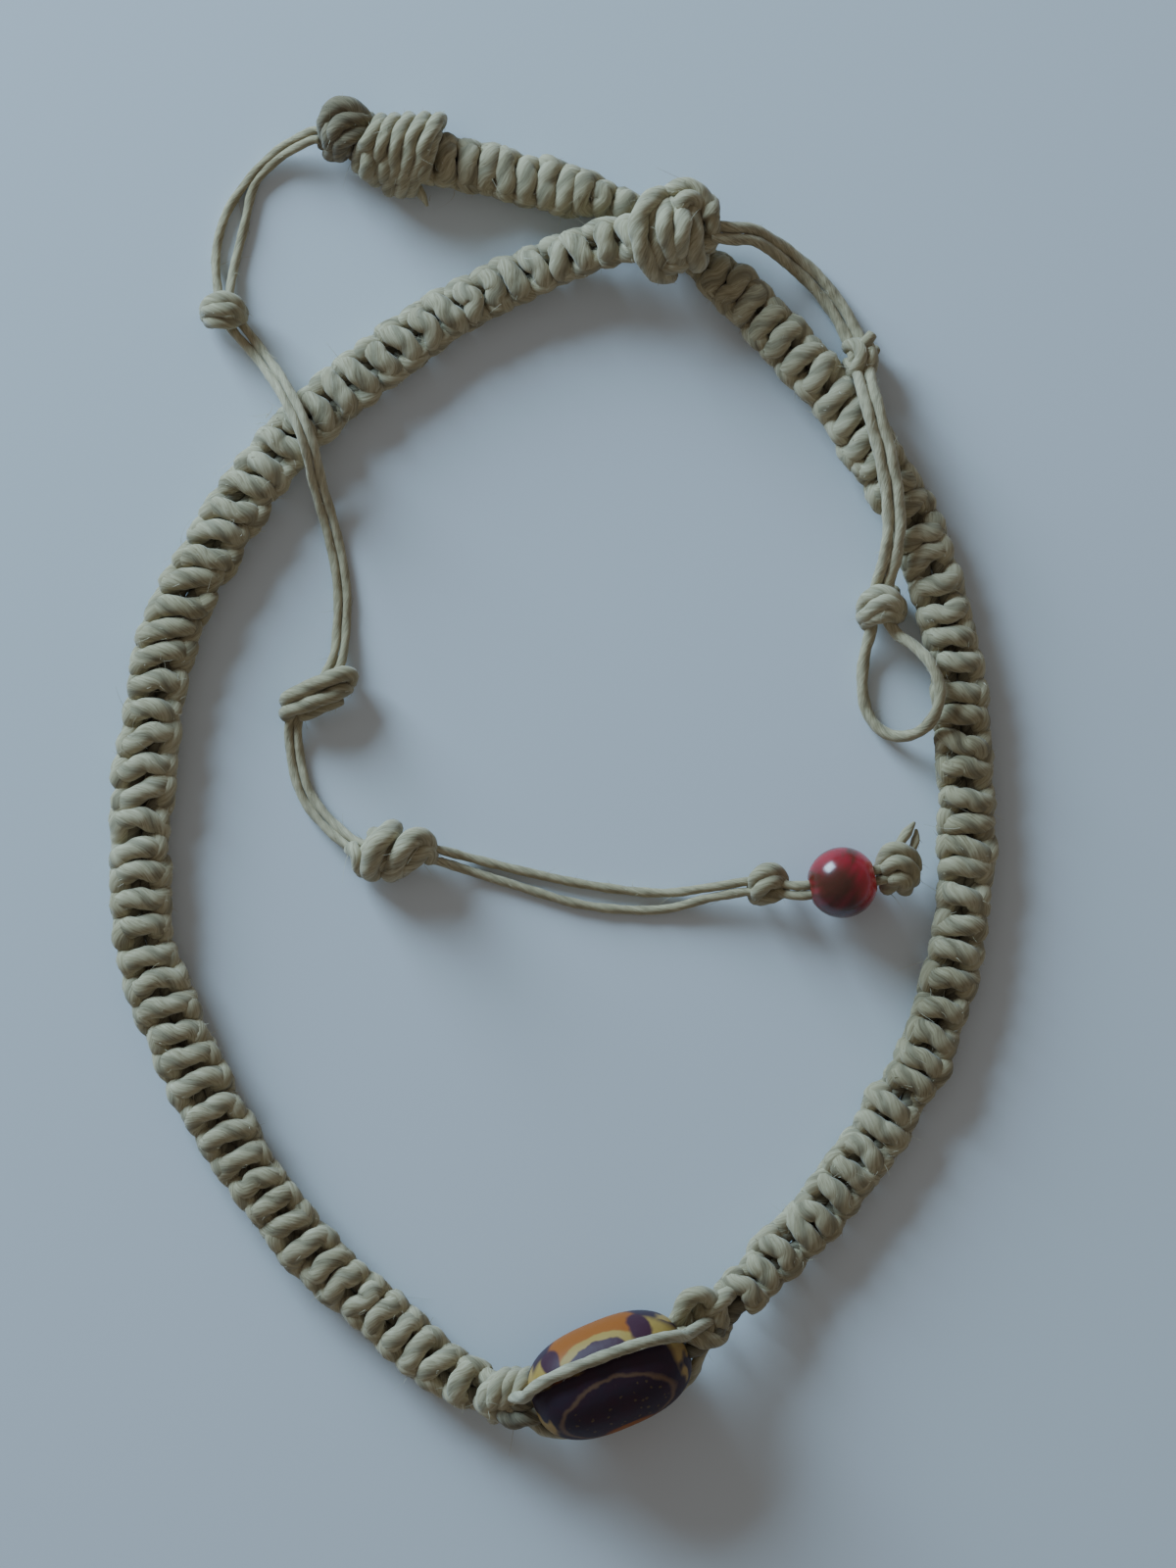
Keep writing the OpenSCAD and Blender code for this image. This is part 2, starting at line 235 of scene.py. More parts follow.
# ---------------------------------------------------------------- materials
class Shader:
    """A material with a Principled surface, and short ways to add nodes to it."""

    def __init__(self, name, rough):
        self.mat = bpy.data.materials.new(name)
        self.mat.use_nodes = True
        self.tree = self.mat.node_tree
        self.main = self.tree.nodes["Principled BSDF"]
        self.main.inputs["Roughness"].default_value = rough

    def put(self, socket, value):
        if isinstance(value, bpy.types.NodeSocket):
            self.tree.links.new(value, socket)
        else:
            socket.default_value = value

    def math(self, op, a, b=0.0, c=0.0):
        n = self.tree.nodes.new("ShaderNodeMath")
        n.operation = op
        for socket, value in zip(n.inputs, (a, b, c)):
            self.put(socket, value)
        return n.outputs[0]

    def coords(self, kind):
        return self.tree.nodes.new("ShaderNodeTexCoord").outputs[kind]

    def split(self, vector):
        n = self.tree.nodes.new("ShaderNodeSeparateXYZ")
        self.put(n.inputs[0], vector)
        return n.outputs

    def join(self, x, y, z):
        n = self.tree.nodes.new("ShaderNodeCombineXYZ")
        for socket, value in zip(n.inputs, (x, y, z)):
            self.put(socket, value)
        return n.outputs[0]

    def noise(self, vector, scale, detail=3.0, distortion=0.0):
        n = self.tree.nodes.new("ShaderNodeTexNoise")
        self.put(n.inputs["Vector"], vector)
        n.inputs["Scale"].default_value = scale
        n.inputs["Detail"].default_value = detail
        n.inputs["Distortion"].default_value = distortion
        return n.outputs[0]

    def cells(self, vector, scale):
        n = self.tree.nodes.new("ShaderNodeTexVoronoi")
        self.put(n.inputs["Vector"], vector)
        n.inputs["Scale"].default_value = scale
        return n.outputs["Distance"]

    def ramp(self, value, stops):
        n = self.tree.nodes.new("ShaderNodeValToRGB")
        self.put(n.inputs[0], value)
        e = n.color_ramp.elements
        while len(e) < len(stops):
            e.new(0.5)
        for item, (place, colour) in zip(e, stops):
            item.position = place
            item.color = (*colour, 1)
        return n.outputs[0]

    def range(self, value, low, high, to_low=0.0, to_high=1.0):
        n = self.tree.nodes.new("ShaderNodeMapRange")
        for socket, v in zip(n.inputs, (value, low, high, to_low, to_high)):
            self.put(socket, v)
        return n.outputs[0]

    def mix(self, factor, a, b, kind="MIX"):
        n = self.tree.nodes.new("ShaderNodeMix")
        n.data_type = "RGBA"
        n.blend_type = kind
        self.put(n.inputs["Factor"], factor)
        for socket, value in zip((n.inputs[6], n.inputs[7]), (a, b)):
            self.put(socket, value if isinstance(value, bpy.types.NodeSocket) else (*value, 1))
        return n.outputs[2]

    def bump(self, height, strength, distance):
        n = self.tree.nodes.new("ShaderNodeBump")
        self.put(n.inputs["Height"], height)
        n.inputs["Strength"].default_value = strength
        n.inputs["Distance"].default_value = distance
        self.put(self.main.inputs["Normal"], n.outputs[0])

    def colour(self, value):
        self.put(self.main.inputs["Base Color"], value)


def hemp(name, dark, mid, pale, lay=5.0, groove_shade=0.35):
    """Natural hemp twine: fibres that turn with the plies, painted shade in the grooves between the plies,
    uneven tint.
    """
    s = Shader(name, 0.86)
    u, v, _ = s.split(s.coords("UV"))
    turn = s.math("MULTIPLY", s.math("SUBTRACT", v, s.math("MULTIPLY", u, 10 / lay)), 2 * math.pi)
    cx, cy = s.math("COSINE", turn), s.math("SINE", turn)
    wound = s.join(s.math("MULTIPLY", cx, 1.3), s.math("MULTIPLY", cy, 1.3), s.math("MULTIPLY", u, 3.0))
    fibre = s.noise(wound, 3.6, 5.0, 0.3)
    ply = s.math("COSINE", s.math("MULTIPLY", turn, 2.0))
    # Painted shade: the colour is darkened where the grooves between the plies lie
    shade = s.range(ply, -1.0, -0.2, 1 - groove_shade, 1.0)
    blotch = s.noise(s.coords("Object"), 170.0, 3.0)
    wide = s.noise(s.coords("Object"), 38.0, 2.0)
    base = s.ramp(fibre, [(0.3, dark), (0.5, mid), (0.72, pale)])
    base = s.mix(s.range(blotch, 0.35, 0.7, 0.0, 0.45), base, pale)
    base = s.mix(s.range(wide, 0.4, 0.65, 0.0, 0.35), base, mid, "MULTIPLY")
    grey = s.join(shade, shade, shade)
    s.colour(s.mix(1.0, base, grey, "MULTIPLY"))
    height = s.math("ADD", s.math("MULTIPLY", fibre, 0.7), s.math("MULTIPLY", ply, 0.25))
    s.bump(height, 0.7, 0.00012)
    s.main.inputs["Specular IOR Level"].default_value = 0.25
    s.main.inputs["Sheen Weight"].default_value = 0.25
    s.main.inputs["Sheen Roughness"].default_value = 0.5
    return s.mat


DARK, MID, PALE = (0.26, 0.205, 0.12), (0.44, 0.375, 0.235), (0.57, 0.51, 0.35)
HEMP_BAND = hemp("hemp_band", DARK, MID, PALE, 7)
# The core cords' hemp is painted darker than the band's, as painted shade for the gaps between the knots
HEMP_CORE_SHADED = hemp("hemp_core", (0.12, 0.1, 0.065), (0.22, 0.19, 0.125), (0.34, 0.3, 0.21), 5.0)
HEMP_KNOT = hemp("hemp_knot", DARK, MID, PALE, 7, 0.25)
HEMP_DARK = hemp("hemp_knot_dark", (0.13, 0.1, 0.055), (0.25, 0.2, 0.12), (0.44, 0.37, 0.24), 7, 0.25)
HEMP_TAIL = hemp("hemp_tail", (0.26, 0.215, 0.14), (0.45, 0.38, 0.24), (0.64, 0.57, 0.39), 9, 0.15)
HEMP_LASH = hemp("hemp_lashing", (0.28, 0.235, 0.15), (0.47, 0.42, 0.285), (0.62, 0.57, 0.415), 9.0, 0.2)


def hair_material():
    s = Shader("hemp_fibre", 0.8)
    s.colour(s.ramp(s.noise(s.coords("Object"), 300.0, 1.0), [(0.35, MID), (0.65, (0.72, 0.67, 0.52))]))
    return s.mat


HAIR = hair_material()


# ---------------------------------------------------------------- routes
# These are the part's routes. The loop end's is joined to the left band's, and the cords' ends run on into
# their knots.
BUTTON_SIDE = [
    (-14.6, 69.2, 3.24), (-6, 67.3, 2.34), (0, 65.8, 2.24), (4, 64.8, 2.24), (9, 63, 1.9), (14, 59.8, 1.9),
    (18.2, 56, 2.24), (22.5, 52, 2.24), (28.5, 45.5, 2.24), (35, 37, 2.24), (40.5, 28, 2.24),
    (44.5, 16, 2.24), (46, 5, 2.24), (46.6, -7, 2.24), (45.7, -18.5, 2.24), (42.5, -30.5, 2.24),
    (37, -40.5, 2.24), (29.5, -50.5, 2.34), (24, -55.8, 2.84), (18.9, -60.9, 5)]
LEFT_SIDE = [
    (-6.2, -70.4, 4.9), (-12.5, -67.6, 3.04), (-20, -61, 2.34), (-28, -53.5, 2.24), (-36, -42.5, 2.24),
    (-42, -31, 2.24), (-46, -19.5, 2.24), (-46.5, -7, 2.24), (-45.5, 5, 2.24), (-43, 16, 2.24),
    (-36.5, 28.5, 2.24), (-30, 37, 2.24), (-23, 43.3, 2.24), (-15, 49.2, 2.24), (-10, 52.5, 2.29),
    (-5, 55, 2.54), (0, 57, 3.1), (4, 58.5, 4.4), (10.6, 60, 6.7)]
LOOP_CORD = [
    (17.6, 60.9, 7.0), (19.9, 60.8, 6.4), (22.8, 60.7, 4.6), (27.2, 58.4, 1.7), (30.8, 55.2, 0.9),
    (33.6, 51, 1.2), (35.1, 47.3, 2), (35.8, 44, 3.8), (36.6, 40.5, 5.8), (37.8, 36, 6), (38.7, 31.5, 5.9),
    (39, 27.5, 5.9), (38.7, 24, 5.3), (37.9, 20.8, 3.5), (37.5, 18, 2.5), (38.6, 15.4, 2.7),
    (40.6, 13.9, 3.8), (42.4, 11.8, 5.1), (43.4, 9, 5.6), (42.9, 6.2, 5.1), (41.3, 4.3, 3.5), (39, 3.7, 2),
    (36.9, 4.5, 1.1), (35.4, 6.6, 0.8), (34.9, 9.8, 0.8), (35.2, 13, 1), (35.9, 16, 1.8), (35.9, 18.4, 2.4),
    (36.3, 21, 3.2), (37.1, 24, 4.7), (37.5, 27.5, 5.5), (37.2, 31.5, 5.9), (36.3, 36, 6),
    (35.1, 40.5, 5.9), (34.3, 43.8, 4.2), (33.6, 47, 2), (32.2, 50.3, 1.2), (29.7, 53.8, 0.9),
    (26.6, 56.7, 1.7), (23, 59.1, 4.6), (19.9, 59.3, 6.4), (17.6, 59.5, 6.9)]
BUTTON_LEFT = [
    (-26.4, 72.1, 3.1), (-27.6, 72, 2.8), (-31, 70.7, 1.2), (-34.3, 67.5, 0.7), (-37, 63, 0.6),
    (-38.2, 58.5, 0.6), (-38, 54.5, 1.3), (-37.5, 51.8, 1.9), (-36.2, 49.5, 1.6), (-33.9, 46.7, 1.8),
    (-31.5, 43.3, 4), (-29.6, 39.9, 5.8), (-28.1, 36.2, 5.8), (-27.1, 31.8, 2.8), (-25.6, 26.3, 0.8),
    (-24.6, 21, 0.6), (-24.6, 16, 0.8), (-25.2, 12.2, 1.7), (-27.4, 8.5, 2.1), (-29.8, 5.8, 1.5),
    (-29.9, 2, 0.7), (-28.8, -2.8, 0.7), (-26.1, -6.4, 1), (-22.2, -9.4, 2.2), (-18.6, -9.9, 2.6)]
BUTTON_RIGHT = [
    (-26.4, 70.9, 3.1), (-27.6, 70.6, 2.8), (-31, 68.5, 1.2), (-33.7, 65.8, 0.7), (-35, 61.5, 0.6),
    (-36, 57.5, 0.6), (-36.6, 54, 1.3), (-36.3, 51.9, 1.9), (-35.2, 50.3, 1.6), (-32.9, 47.5, 1.8),
    (-30.4, 44.1, 4), (-28.4, 40.6, 5.8), (-26.8, 36.6, 5.8), (-25.9, 32, 2.8), (-24.4, 26.6, 0.8),
    (-23.4, 21, 0.6), (-23.4, 16, 0.8), (-24, 11.7, 1.7), (-26.3, 9.3, 2.1), (-28.6, 6.2, 1.5),
    (-28.7, 2.2, 0.7), (-27.6, -2.2, 0.7), (-25.2, -5.6, 1), (-21.8, -8.2, 2.2), (-18.2, -8.6, 2.6)]
BEAD_UPPER = [
    (-14.4, -9.1, 2.6), (-12.9, -9.1, 2.2), (-9.5, -10, 0.9), (-4, -11.4, 0.6), (4, -13.1, 0.6),
    (12, -14, 0.7), (18, -13.3, 1.8), (23.4, -12.5, 2.9), (28.3, -13.1, 4), (36.6, -11.3, 4),
    (38.8, -10.9, 3)]
BEAD_LOWER = [
    (-14.4, -10.2, 2.6), (-12.9, -10.4, 2.2), (-9.8, -11.4, 0.9), (-4.4, -13.1, 0.6), (3.6, -15.4, 0.6),
    (11.8, -15.9, 0.7), (17.8, -14.5, 1.8), (23.4, -13.7, 2.9), (28.5, -14.2, 4), (36.8, -12.5, 4),
    (39, -12, 3)]

FOCAL_AT = np.array([6.3, -67.9, 6.3])
FOCAL_LEN, FOCAL_D, FOCAL_HOLE = 18.6, 12.4, 3.6
FOCAL_POWER = 2.6                       # how square the bead's outline is: 2 is an ellipse
CORE_REACH = 9.8                        # from the bead's middle to where the core leaves its hole
BEAD_MAP = 20.0                         # millimetres along a bead to one unit of its map
FOCAL_ALONG = np.array([math.cos(math.radians(23)), math.sin(math.radians(23)), 0])
FOCAL_ACROSS = np.array([-FOCAL_ALONG[1], FOCAL_ALONG[0], 0])
RED_AT = np.array([32.5, -12.75, 4.05])
RED_D, RED_HOLE, RED_TURN = 8.0, 2.6, 12.0


# ---------------------------------------------------------------- the knotted band
class Line:
    """A band's middle line, with its place, side and up at each length along it."""

    def __init__(self, route):
        self.points = spaced(smooth(route, 40), 0.2)
        self.at = lengths(self.points)
        along = np.gradient(self.points, axis=0)
        along /= np.linalg.norm(along, axis=1)[:, None]
        side = np.cross([0, 0, 1.0], along)
        side /= np.linalg.norm(side, axis=1)[:, None]
        self.side, self.up = side, np.cross(along, side)

    def place(self, s, x, z):
        """The point s along, x to the side and z up. Past its ends the line runs on straight."""
        def pick(a):
            return np.array([np.interp(s, self.at, a[:, k]) for k in range(3)])
        inside = min(max(s, 0), self.at[-1])
        end_run = self.points[-1] - self.points[-4] if s > inside else self.points[3] - self.points[0]
        extra = (s - inside) * unit(end_run)
        return pick(self.points) + extra + x * pick(self.side) + z * pick(self.up)

    def nearest(self, xy):
        return self.at[np.argmin(np.linalg.norm(self.points[:, :2] - np.array(xy), axis=1))]


# One half knot: across, along in pitches, up. The front cord crosses over the core, the back cord under it.
FRONT = [(-2.2, -0.42, -0.35), (-2.55, -0.12, 0.45), (-1.5, -0.02, 1.3), (0, 0.0, 1.5), (1.5, 0.02, 1.3),
         (2.5, 0.1, 0.45), (2.25, 0.42, -0.4)]
BACK = [(2.3, -0.42, 0.0), (2.6, -0.1, 0.75), (2.1, 0.2, 0.45), (1.5, 0.2, -0.6), (0.8, 0.1, -1.3),
        (0, 0, -1.4), (-0.8, -0.1, -1.3), (-1.5, -0.22, -0.6), (-2.0, -0.2, 0.4), (-2.6, 0.0, 0.75),
        (-2.3, 0.38, 0.05)]
OUTER, BOWED = 2.6, 2.7    # half widths of that drawing: to its outer turns, and to where its bow ends


def band_strands(line, start, stop, pitch, width, thick, lean, bow, seed):
    """The two working cords of a stretch of knots. The last four say how the knots vary along it."""
    r = np.random.default_rng(seed)
    front, back, s, sign = [], [], start, 1
    while s < stop:
        p = pitch(s)
        wide = (width(s) / 2 - WORK_D / 2) / OUTER * (1 + 0.06 * r.normal())
        tall = thick(s) * (1 + 0.03 * r.normal())
        slope = math.tan(math.radians(lean(s) + 6 * r.normal()))
        shift = 0.12 * r.normal()
        for shape, out in ((FRONT, front), (BACK, back)):
            for x, t, z in shape:
                x = sign * x * wide + shift + 0.07 * r.normal()
                curve = bow * max(0, 1 - (x / BOWED) ** 2) if z > 0 else 0
                ahead = s + t * p + curve + x * slope * (1 if z > 0 else 0.3) + 0.06 * p * r.normal()
                out.append(line.place(ahead, x, z * tall + 0.06 * r.normal()))
        s += p * (1 + 0.09 * r.normal())
        sign = -sign
    return front, back


def table(*pairs):
    """A value that changes smoothly between stations along a line."""
    xs, ys = zip(*pairs)
    return lambda s: float(np.interp(s, xs, ys))


BAND_TWINE = {"low": 0.7, "depth": 0.05, "sides": 12}    # pressed flat over and under the core


def band(name, cords, *nodes):
    o = twine(name, [Strand(cord, WORK_D, 7, **BAND_TWINE) for cord in cords], HEMP_BAND, BAND_HAIRS)
    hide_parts(*nodes)
    return o


button_line, left_line = Line(BUTTON_SIDE), Line(LEFT_SIDE)
neck, neck_end = button_line.nearest((4.5, 64.7)), button_line.nearest((17, 57.2))
right_end, left_end = button_line.at[-1], left_line.at[-1]

button_cords = band_strands(
    button_line, 0.4, right_end - 0.5,
    table((0, 2.25), (neck - 1, 2.35), (neck_end + 4, 2.6), (neck_end + 12, 3.0), (right_end, 3.1)),
    table((0, 6.3), (neck - 2, 6.0), (neck + 1.5, 4.3), (neck_end, 4.6), (neck_end + 5, 6.3),
          (neck_end + 35, 6.8), (right_end - 40, 6.9), (right_end - 8, 6.8), (right_end, 5.6)),
    table((0, 1.0), (neck - 1, 1.0), (neck + 2, 0.7), (neck_end, 0.72), (neck_end + 6, 1.0),
          (right_end, 1.0)),
    table((0, -8), (neck, -6), (neck_end + 20, -12), (right_end * 0.6, 6), (right_end, -4)), -0.4, 3)
band_right = band("button_side_band", button_cords, "button_end_band", "narrow_neck", "right_band_top",
                  "right_band_middle", "right_band_bottom")
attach(band_right, "necklace")

left_cords = band_strands(
    left_line, 0.3, left_end - 0.6,
    table((0, 3.0), (left_end * 0.5, 3.2), (left_end * 0.8, 3.0), (left_end, 2.9)),
    table((0, 5.8), (8, 6.6), (40, 7.3), (90, 7.5), (115, 7.2), (left_end - 20, 6.4), (left_end, 5.6)),
    table((0, 1.0), (left_end, 1.0)),
    table((0, -4), (25, 2), (45, 14), (62, 4), (80, -12), (95, -22), (108, -30), (122, -10), (left_end, -4)),
    0.6, 5)
band_left = band("loop_side_band", left_cords, "left_band_bottom", "left_band_middle", "left_band_top",
                 "loop_end_band")
for piece in [band_left, *band_left.children]:
    piece.parent = None
    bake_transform(piece)

tuft = hair_mesh("left_band_fuzz", [Strand([(-32.6, 38.5, 3.2), (-32, 39, 3.3), (-31.5, 39.6, 3.2)], 1.6)],
                 TUFT_HAIRS)
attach(tuft, "necklace")

RIGHT_KNOT, LEFT_KNOT = (17.6, -62, 5.4), (-5, -70.8, 5.2)
through_bead = [tuple(FOCAL_AT + CORE_REACH * FOCAL_ALONG), tuple(FOCAL_AT - CORE_REACH * FOCAL_ALONG)]
core_line = Line([(-24.6, 72.3, 3.4), (-20, 70.5, 3.7)] + BUTTON_SIDE + [RIGHT_KNOT] + through_bead
                 + [LEFT_KNOT] + LEFT_SIDE[:14])


def core_pair(name, line, start, nodes, body):
    """Two core cords side by side, from a length along the line to its end."""
    cords = []
    for x in (-CORE_APART, CORE_APART):
        route = [line.place(s, x, 0) for s in np.arange(start, line.at[-1], 0.6)]
        cords.append(Strand(route, CORE_D, 5.0, step=0.4, steps=2, low=0.7))
    o = twine(name, cords, HEMP_CORE_SHADED)
    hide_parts(*nodes)
    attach(o, body)


core_pair("core_cords", core_line, 0, ("inner_core_cord", "outer_core_cord"), "necklace")
core_pair("loop_end_cores", left_line, left_line.nearest((-14.6, 49.5)),
          ("loop_end_inner_core", "loop_end_outer_core"), "loop_end")


# ---------------------------------------------------------------- knots
def winding(centre, run, across, a, h, step, turns, start=0.0, box=0.8):
    """Turns of twine: each runs along one way, round and back underneath, and steps across."""
    run, across = unit(run), unit(across)
    up = np.array([0, 0, 1.0])
    t = np.linspace(0, turns, max(8, round(turns * 14)))
    c, s = np.cos(2 * math.pi * (t + start)), np.sin(2 * math.pi * (t + start))
    x = a * np.sign(c) * np.abs(c) ** box
    z = h * np.sign(s) * np.abs(s) ** box
    return (np.array(centre) + x[:, None] * run + z[:, None] * up
            + (step * (t - turns / 2))[:, None] * across)


def inner(d, *args):
    """The turns inside a knot, under its lobes."""
    return Strand(winding(*args), d, 6, depth=0.05, steps=3)


def lobes(centre, *passes, taper=(0, 0)):
    """Passes of cord over a knot: a diameter, then points from the knot's middle and up from the cloth."""
    middle = np.array([*centre, 0.0])
    return [Strand([middle + point for point in points], d, 7, depth=0.06, sides=14, taper=taper)
            for d, *points in passes]


def knot(name, node, body, strands, material=HEMP_KNOT):
    o = twine(name, strands, material, KNOT_HAIRS)
    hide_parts(node)
    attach(o, body)
    return o


# Button end: the knot that the tail leaves from, and the whipping
BUTTON_KNOT, WHIPPING = (-23.1, 71.9), (-17.3, 69.4)
knot("button_end_knot_twine", "button_end_knot", "necklace", [
    inner(2.0, (*BUTTON_KNOT, 3.2), (0.45, 1, 0), (1, -0.27, 0), 1.9, 1.7, 1.9, 2.4),
    *lobes(BUTTON_KNOT,
           (2.2, (-2.5, -1.5, 2), (-2.5, 0.5, 4), (-2, 2, 5.5), (-1, 2.5, 6), (0.5, 2.5, 6), (1.5, 1.5, 5.5),
            (2, 0, 4.5), (1.5, -1.5, 3), (0.5, -2.5, 1.5)),
           (2.2, (-2, -2.5, 1.5), (-1.5, -1, 4.5), (-1, 0.5, 6), (0.5, 1, 6), (2, 1, 5), (2.5, 0, 3)),
           (2.1, (-1, -2.5, 1.5), (-1, -2, 4), (0, -1, 5.5), (1.5, -0.5, 5.5), (2.5, -1, 4), (3, -2, 2)))],
    HEMP_DARK)


def whipping_turns():
    """Five turns, fanned out on the upper side and drawn together on the lower one."""
    route = []
    for top_x, crest_x, low_x, low_y in ((-2, -3.4, -4.7, -1.4), (-0.6, -1.9, -2.8, -3), (1, -0.3, -1.2, -4),
                                         (2.7, 1.3, 0.1, -4.3), (4.4, 3, 1.2, -4.3)):
        route += [(top_x, 3.6, 2.4), (top_x - 0.2, 3.3, 5.6), (crest_x, 0.9, 7),
                  (low_x + 0.6, low_y + 1.8, 5.4), (low_x, low_y, 2.4),
                  ((top_x + low_x) / 2 + 0.8, low_y / 2 + 1.8, 1)]
    return route[:-1]    # nothing leads on from the last turn


knot("button_end_whipping_twine", "button_end_whipping", "necklace", [
    inner(2.2, (*WHIPPING, 3.6), (0.42, 1, 0), (1, -0.2, 0), 3.0, 2.2, 2.0, 3.4),
    *lobes(WHIPPING, (1.8, *whipping_turns()))])
knot("whipping_cord_end_twine", "whipping_cord_end", "necklace", lobes(
    WHIPPING, (1.2, (1.7, -3.6, 2.8), (2.2, -4.3, 2.4), (2.7, -5, 1.8), (3, -5.7, 1.3)), taper=(0, 1.6)),
    HEMP_TAIL)

# The knots on each side of the big bead
knot("right_bead_knot_twine", "right_bead_knot", "necklace", [
    inner(2.3, (16.8, -61.8, 4.6), (0.45, -0.9, 0), (0.75, 0.66, 0), 1.9, 1.3, 1.9, 2.4),
    *lobes((17, -62),
           (2.2, (-3, -1, 4.5), (-3, 0.5, 6.5), (-2.2, 2.4, 7.4), (-1, 3.2, 7.5), (0.2, 3, 7), (1.2, 2, 6.4),
            (1.8, 0.6, 5.4), (2, -0.8, 4.2)),
           (2.2, (-3.6, -1.8, 4.5), (-2.6, -1.3, 6.6), (-1.2, -1.5, 7.2), (0.2, -2, 6.6), (1.5, -1.8, 5.2),
            (2.2, -0.7, 3.6)),
           (2.0, (0, 0.2, 4.8), (0.8, 1.4, 6.4), (1.8, 2.5, 6.6), (2.9, 3.2, 5.2)))])
left_lobes = []
for across in (-1.2, 0, 1.2):
    left_lobes += lobes((-5 + across, -70.6), (2.0, (-0.4, -2.4, 3.2), (-0.6, -0.8, 5.6), (-0.3, 1.1, 6.8),
                                               (0.4, 2.2, 6.3), (1, 2.7, 4.5)))
knot("left_bead_knot_twine", "left_bead_knot", "necklace", [
    inner(1.8, (-5.2, -70.6, 4.4), (0.2, 1, 0), (0.95, -0.3, 0), 1.6, 1.4, 1.7, 2.0), *left_lobes])

# Loop end: the outer wrap on the left, the fat lobes on top, and what holds them
LOOP_KNOT = (14, 60.2)
knot("loop_end_wrap_twine", "loop_end_wrap", "loop_end", lobes(
    LOOP_KNOT, (2.3, (-0.3, 3.9, 5), (-1.8, 4.1, 7.2), (-3.2, 3.3, 8.6), (-4.3, 1.7, 9.2), (-4.5, -0.4, 9.2),
                (-4, -2.4, 8.6), (-3.3, -3.9, 7.4), (-2, -4.7, 5.6), (-0.8, -4.4, 3.8))))
knot("loop_end_knot_twine", "loop_end_knot", "loop_end", [
    inner(2.4, (14.3, 60.2, 6), (0, 1, 0), (1, 0, 0), 3.4, 2.2, 2.1, 3.2),
    *lobes(LOOP_KNOT,
           (2.2, (-1, 3.5, 6.2), (-1.5, 2, 8.8), (-1.6, 0.3, 9.8), (-1.2, -1.4, 9.3), (-0.5, -2.8, 7.4),
            (0.3, -3.6, 5.4)),
           (2.2, (0.4, 2.8, 7), (0.4, 1.5, 9.1), (0.4, 0, 9.8), (0.2, -1.5, 9.2), (-0.2, -2.8, 7),
            (-0.7, -3.6, 5.4)),
           (2.0, (-1.3, 3.7, 5.6), (-0.7, 4.6, 7.4), (0.3, 5, 8.2), (1.6, 4.8, 8.2), (2.7, 4, 8),
            (3.4, 2.7, 7.8), (3.8, 1.1, 7.4), (3.9, -0.3, 6.4), (3.3, -1.6, 5)),
           (1.9, (-0.1, 2.6, 8.8), (0.8, 3.5, 9.2), (1.7, 3.5, 8.8), (2.2, 2.6, 7.4), (2.1, 1.2, 6.6),
            (1.9, -0.3, 6.8), (1.5, -1.8, 6)),
           (2.0, (0.8, -3, 6), (1.8, -2.2, 6.8), (2.9, -1.4, 6.6), (4, -0.5, 6.4)),
           (2.1, (-2.8, -3.3, 5), (-1.7, -4, 6.2), (-0.4, -3.8, 6.9), (0.9, -3, 6.4)))])

# Loop tail knots
spacing = knot("loop_spacing_knot_twine", "loop_spacing_knot", "loop_tail", [
    inner(1.3, (34.6, 46.3, 2), (0.42, 0.9, 0), (0.9, -0.42, 0), 1.6, 0.9, 1.1, 2.0),
    *lobes((34.7, 46.4),
           (1.7, (-1.5, 1.2, 1.6), (-0.9, 1.5, 3), (-0.2, 0.9, 3.8), (-0.1, -0.2, 3.8), (-0.6, -1.3, 3.4),
            (-1.3, -2, 2.2)),
           (1.7, (0.5, 1.5, 2.8), (1.1, 0.5, 3.3), (1.1, -0.8, 3.1), (0.5, -2, 2.2)),
           (1.5, (-1.6, -0.6, 1.8), (-1, -1, 3), (-0.2, -1.7, 3), (0.5, -2.3, 2)),
           (1.4, (0, 1.2, 3.2), (0.6, 1.8, 3.6), (1.2, 2.6, 3.4)))])
base = knot("loop_base_knot_twine", "loop_base_knot", "loop_tail", [
    inner(1.6, (37.1, 18.3, 2.2), (1, 0.25, 0), (-0.2, 1, 0), 1.7, 1.2, 1.4, 2.0),
    *lobes((37, 18.2),
           (2.0, (-2, -0.7, 1.6), (-1.8, 0.7, 3), (-0.9, 1.5, 3.9), (0.3, 1.6, 4.1), (1.4, 1, 3.8),
            (2, 0, 2.8), (1.8, -1, 1.6)),
           (2.0, (-2, -1.2, 1.6), (-1.5, -0.6, 3.4), (-0.6, 0.3, 4.2), (0.6, 0.7, 4.3), (1.5, 0.3, 3.8),
            (1.9, -0.7, 2.4)),
           (1.9, (-1.7, -1.8, 1.4), (-1.3, -1.3, 2.8), (-0.3, -0.9, 3.8), (0.8, -0.8, 3.8), (1.6, -1, 2.6)))])

